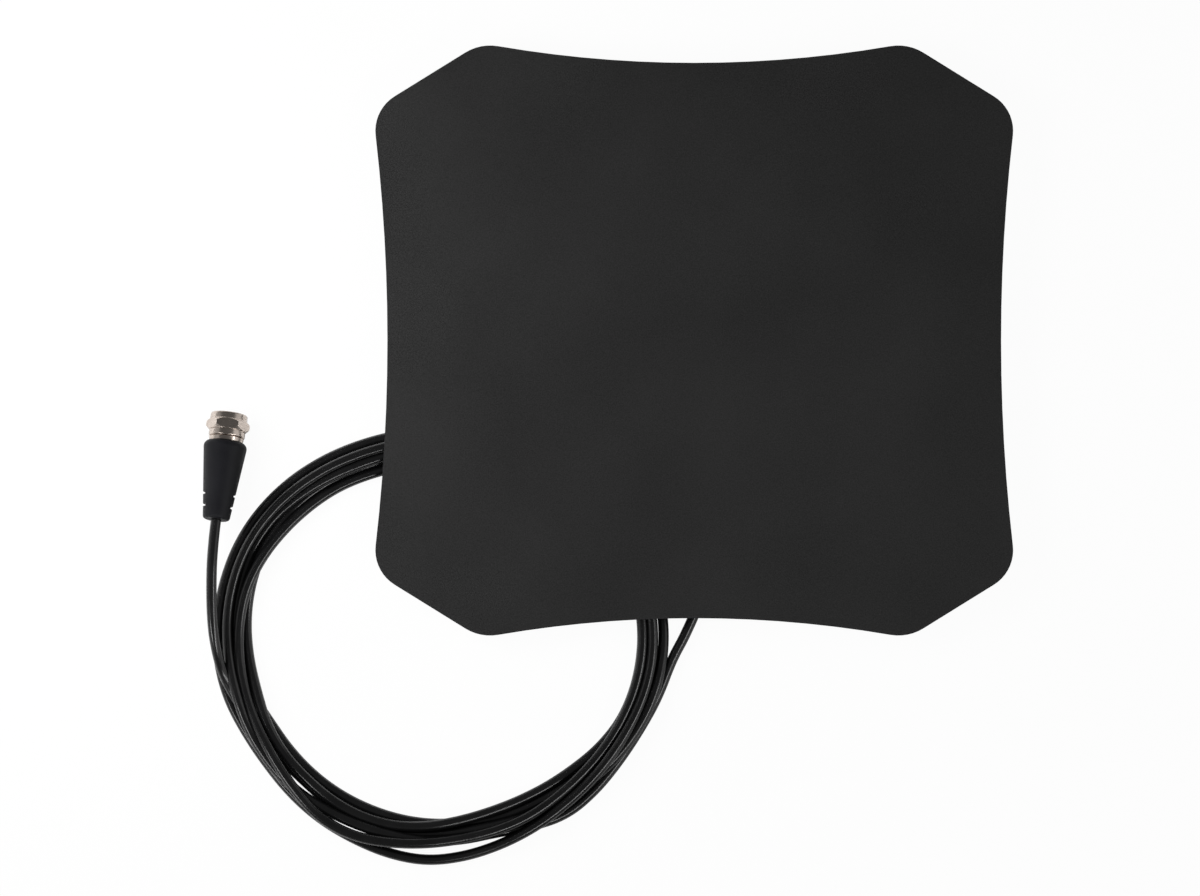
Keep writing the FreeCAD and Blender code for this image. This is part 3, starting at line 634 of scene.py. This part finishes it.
def make_nut():
    """The nut: a turned ring with six flats cut across its swelling."""
    nut = turned_ring("nut", nut_profile())
    cutter = flats_cutter()
    cut = nut.modifiers.new("flats", "BOOLEAN")
    cut.operation, cut.solver, cut.object = "INTERSECT", "EXACT", cutter
    mesh = worked_out(nut)
    bpy.data.objects.remove(cutter)
    mesh.shade_smooth()
    mesh.set_sharp_from_angle(angle=SHARP_EDGE)
    placed_on_plug(mesh, NUT_REAR)
    return nut


class Shape:
    """A tree of geometry nodes whose sizes are named inputs, and the piece that it makes."""

    def __init__(self, name, sizes):
        self.name = name
        self.sizes = sizes
        self.tree = bpy.data.node_groups.new(name, "GeometryNodeTree")
        for size, value in sizes.items():
            kind = "NodeSocketMaterial" if isinstance(value, bpy.types.Material) else "NodeSocketFloat"
            self.tree.interface.new_socket(size, in_out="INPUT", socket_type=kind)
        self.tree.interface.new_socket("Shape", in_out="OUTPUT", socket_type="NodeSocketGeometry")
        self.given = self.tree.nodes.new("NodeGroupInput").outputs

    def add(self, kind, settings, inputs):
        """A node of that kind with its settings made first, then its sockets set or linked."""
        node = self.tree.nodes.new(kind)
        for name, value in settings.items():
            setattr(node, name, value)
        for name, value in inputs.items():
            for source in value if isinstance(value, list) else [value]:
                if isinstance(source, bpy.types.NodeSocket):
                    self.tree.links.new(source, node.inputs[name])
                else:
                    node.inputs[name].default_value = source
        return node.outputs[0]

    def times(self, first, second):
        return self.add("ShaderNodeMath", {"operation": "MULTIPLY"}, {0: first, 1: second})

    def point(self, x=0.0, y=0.0, z=0.0):
        return self.add("ShaderNodeCombineXYZ", {}, {"X": x, "Y": y, "Z": z})

    def moved(self, geometry, place):
        return self.add("GeometryNodeTransform", {}, {"Geometry": geometry, "Translation": place})

    def piece(self, geometry):
        """The tree's shape as a plain mesh with the finish that it is given."""
        real = self.add("GeometryNodeRealizeInstances", {}, {"Geometry": geometry})
        finished = self.add("GeometryNodeSetMaterial", {}, {
            "Geometry": real, "Material": self.given["Finish"]})
        self.tree.links.new(finished, self.tree.nodes.new("NodeGroupOutput").inputs[0])
        made = bpy.data.objects.new(self.name, bpy.data.meshes.new(self.name))
        scene.collection.objects.link(made)
        modifier = made.modifiers.new("shape", "NODES")
        modifier.node_group = self.tree
        for item in self.tree.interface.items_tree:
            if item.in_out == "INPUT":
                modifier[item.identifier] = self.sizes[item.name]
        worked_out(made)
        return made


def make_thread():
    """The thread inside the nut's bore: a spiral ridge with a four-cornered section."""
    ridge = Shape("nut_thread", {"Pitch": THREAD_PITCH, "Turns": THREAD_TURNS, "Radius": BORE_RADIUS,
                                 "Depth": THREAD_DEPTH, "Finish": FINISHES["nickel"]})
    given = ridge.given
    length = ridge.times(given["Pitch"], given["Turns"])
    spiral = ridge.add("GeometryNodeCurveSpiral", {}, {
        "Resolution": THREAD_STEPS, "Rotations": given["Turns"], "Start Radius": given["Radius"],
        "End Radius": given["Radius"], "Height": length, "Reverse": True})
    level = ridge.add("GeometryNodeSetCurveNormal", {"mode": "Z_UP"}, {"Curve": spiral})
    section = ridge.add("GeometryNodeCurvePrimitiveCircle", {}, {
        "Resolution": THREAD_CORNERS, "Radius": given["Depth"]})
    swept = ridge.add("GeometryNodeCurveToMesh", {}, {
        "Curve": level, "Profile Curve": section, "Fill Caps": True})
    thread = ridge.piece(swept)
    placed_on_plug(thread.data, NUT_REAR + THREAD_START, Matrix.Rotation(-math.pi / 2, 4, "X"))
    return thread


# cover screws: heads that face down into the cover's two recesses

SCREW_PLACE = Vector((0, -10, 0.2)) * MM
SCREW_SIZES = {"Spacing": 34 * MM, "Head": 1.9 * MM, "Head Face": 1.7 * MM, "Head Height": 0.9 * MM,
               "Shank": 1.0 * MM, "Shank Tip": 0.7 * MM, "Shank Length": 5.05 * MM, "Slot Width": 0.6 * MM,
               "Slot Length": 2.3 * MM, "Slot Depth": 0.5 * MM}
HEAD_STEPS, SHANK_STEPS = 64, 32


def make_screws():
    """The two cover screws, with tapered heads and a cross recess."""
    screw = Shape("cover_screws", {**SCREW_SIZES, "Finish": FINISHES["steel"]})
    given = screw.given
    head = screw.add("GeometryNodeMeshCone", {}, {
        "Vertices": HEAD_STEPS, "Radius Bottom": given["Head Face"], "Radius Top": given["Head"],
        "Depth": given["Head Height"]})
    shank = screw.add("GeometryNodeMeshCone", {}, {
        "Vertices": SHANK_STEPS, "Radius Bottom": given["Shank"], "Radius Top": given["Shank Tip"],
        "Depth": given["Shank Length"]})
    # the recess is cut by two crossed blocks, of which one half stands out of the head
    depth = screw.times(given["Slot Depth"], 2)
    slots = []
    for across, along in (("Slot Width", "Slot Length"), ("Slot Length", "Slot Width")):
        block = screw.point(given[across], given[along], depth)
        slots.append(screw.add("GeometryNodeMeshCube", {}, {"Size": block}))
    seated = screw.moved(shank, screw.point(z=screw.times(given["Head Height"], 0.5)))
    whole = screw.add("GeometryNodeMeshBoolean", {"operation": "UNION"}, {"Mesh 2": [head, seated]})
    cut = screw.add("GeometryNodeMeshBoolean", {"operation": "DIFFERENCE"}, {
        "Mesh 1": whole, "Mesh 2": slots})
    pair = screw.add("GeometryNodeMeshLine", {}, {
        "Count": 2, "Start Location": screw.point(x=screw.times(given["Spacing"], -0.5)),
        "Offset": screw.point(x=given["Spacing"])})
    screws = screw.piece(screw.add("GeometryNodeInstanceOnPoints", {}, {"Points": pair, "Instance": cut}))
    screws.data.transform(Matrix.Translation(SCREW_PLACE))
    screws.data.shade_smooth()
    screws.data.set_sharp_from_angle(angle=SHARP_EDGE)
    return screws


nut = make_nut()
dress(nut, "nut", "nickel", "coupling_nut")
thread = make_thread()
dress(thread, "nut", "nickel")
screws = make_screws()
dress(screws, "antenna", "steel", "cover_screw_left", "cover_screw_right")

dress(cable, "antenna", "cable", "cable_lead", "cable_coil", "cable_tail")


# floor, world and lamps

FLOOR_HALF = 3.0
# the floor lies just below the box, so that their faces don't meet
FLOOR_DROP = 0.05 * MM
# share of the floor that glows, where it is seen and where it is mirrored
FLOOR_SEEN, FLOOR_MIRRORED = 0.96, 0.1
# brightness of the studio by the height that it is looked at, from low down to overhead
STUDIO_LEVELS = ((0.05, 0.2), (0.45, 0.13), (0.85, 0.12))
LAMP_AIM = Vector((-0.03, -0.03, 0))


def floor_white():
    """White table that keeps a faint shadow and that other rays light as a plain pale floor."""
    white = Finish("floor_white", {"Roughness": 0.9, "Specular IOR Level": 0.0})
    fibre = white.noise(3 * MM, 2)
    white.surface(Base_Color=white.ramp(fibre, (0.3, (0.49, 0.49, 0.49)), (0.7, (0.51, 0.51, 0.51))))
    path = {name: white.add("ShaderNodeLightPath", {}, {}, name)
            for name in ("Is Camera Ray", "Is Glossy Ray", "Is Transmission Ray")}
    mirrored = path["Is Glossy Ray"] * FLOOR_MIRRORED
    seen = path["Is Camera Ray"] * FLOOR_SEEN + mirrored + path["Is Transmission Ray"] * FLOOR_SEEN
    glow = white.add("ShaderNodeEmission", {}, {"Color": (1, 1, 1, 1), "Strength": 1.0})
    lit = white.add("ShaderNodeMixShader", {}, {0: seen, 1: Value(white, white.shader.outputs[0]), 2: glow})
    below = white.add("ShaderNodeNewGeometry", {}, {}, "Backfacing")
    clear = white.add("ShaderNodeBsdfTransparent", {}, {})
    both = white.add("ShaderNodeMixShader", {}, {0: below, 1: lit, 2: clear})
    white.feed(white.tree.nodes["Material Output"].inputs["Surface"], both)
    # the glow is only seen and mirrored, so it isn't a lamp
    white.material.cycles.emission_sampling = "NONE"
    return white.material


def make_floor():
    mesh = bpy.data.meshes.new("floor")
    corners = [(x * FLOOR_HALF, y * FLOOR_HALF, -FLOOR_DROP) for x, y in ((-1, -1), (1, -1), (1, 1), (-1, 1))]
    mesh.from_pydata(corners, [], [(0, 1, 2, 3)])
    mesh.materials.append(floor_white())
    floor = bpy.data.objects.new("floor", mesh)
    scene.collection.objects.link(floor)


def make_world():
    """A studio that is dark overhead and bright low down, white where the camera sees it."""
    world = bpy.data.worlds.new("studio")
    world.use_nodes = True
    studio = ShaderNodes(world.node_tree)
    direction = studio.add("ShaderNodeTexCoord", {}, {}, "Generated")
    height = studio.add("ShaderNodeSeparateXYZ", {}, {0: direction}, "Z")
    level = studio.ramp(height, *((position, (grey, grey, grey)) for position, grey in STUDIO_LEVELS))
    seen = studio.add("ShaderNodeLightPath", {}, {}, "Is Camera Ray")
    studio.feed(studio.tree.nodes["Background"].inputs["Color"], studio.blend(seen, level, (1, 1, 1)))
    scene.world = world


def make_lamp(name, place, size, power, mirrored=True):
    """A soft lamp that faces the antenna, and that glossy surfaces mirror or don't."""
    lamp_data = bpy.data.lights.new(name, "AREA")
    lamp_data.shape = "RECTANGLE"
    lamp_data.size, lamp_data.size_y = size
    lamp_data.energy = power
    lamp = bpy.data.objects.new(name, lamp_data)
    lamp.location = place
    lamp.rotation_euler = (LAMP_AIM - Vector(place)).to_track_quat("-Z", "Y").to_euler()
    lamp.visible_camera = False
    lamp.visible_glossy = mirrored
    scene.collection.objects.link(lamp)


make_floor()
make_world()
make_lamp("fill_side", place=(-0.25, 0.02, 0.21), size=(0.2, 0.2), power=1.57, mirrored=False)
make_lamp("screen_left", place=(-0.95, -0.16, 0.33), size=(1.4, 0.7), power=1.15)
make_lamp("screen_right", place=(0.75, -0.18, 0.40), size=(1.4, 0.8), power=2.25)
make_lamp("key_left", place=(-0.675, -0.53, 0.53), size=(0.36, 0.16), power=1.65)
make_lamp("key_right", place=(0.37, -0.475, 0.66), size=(0.96, 0.11), power=3.1)
scene.view_settings.view_transform = "Standard"
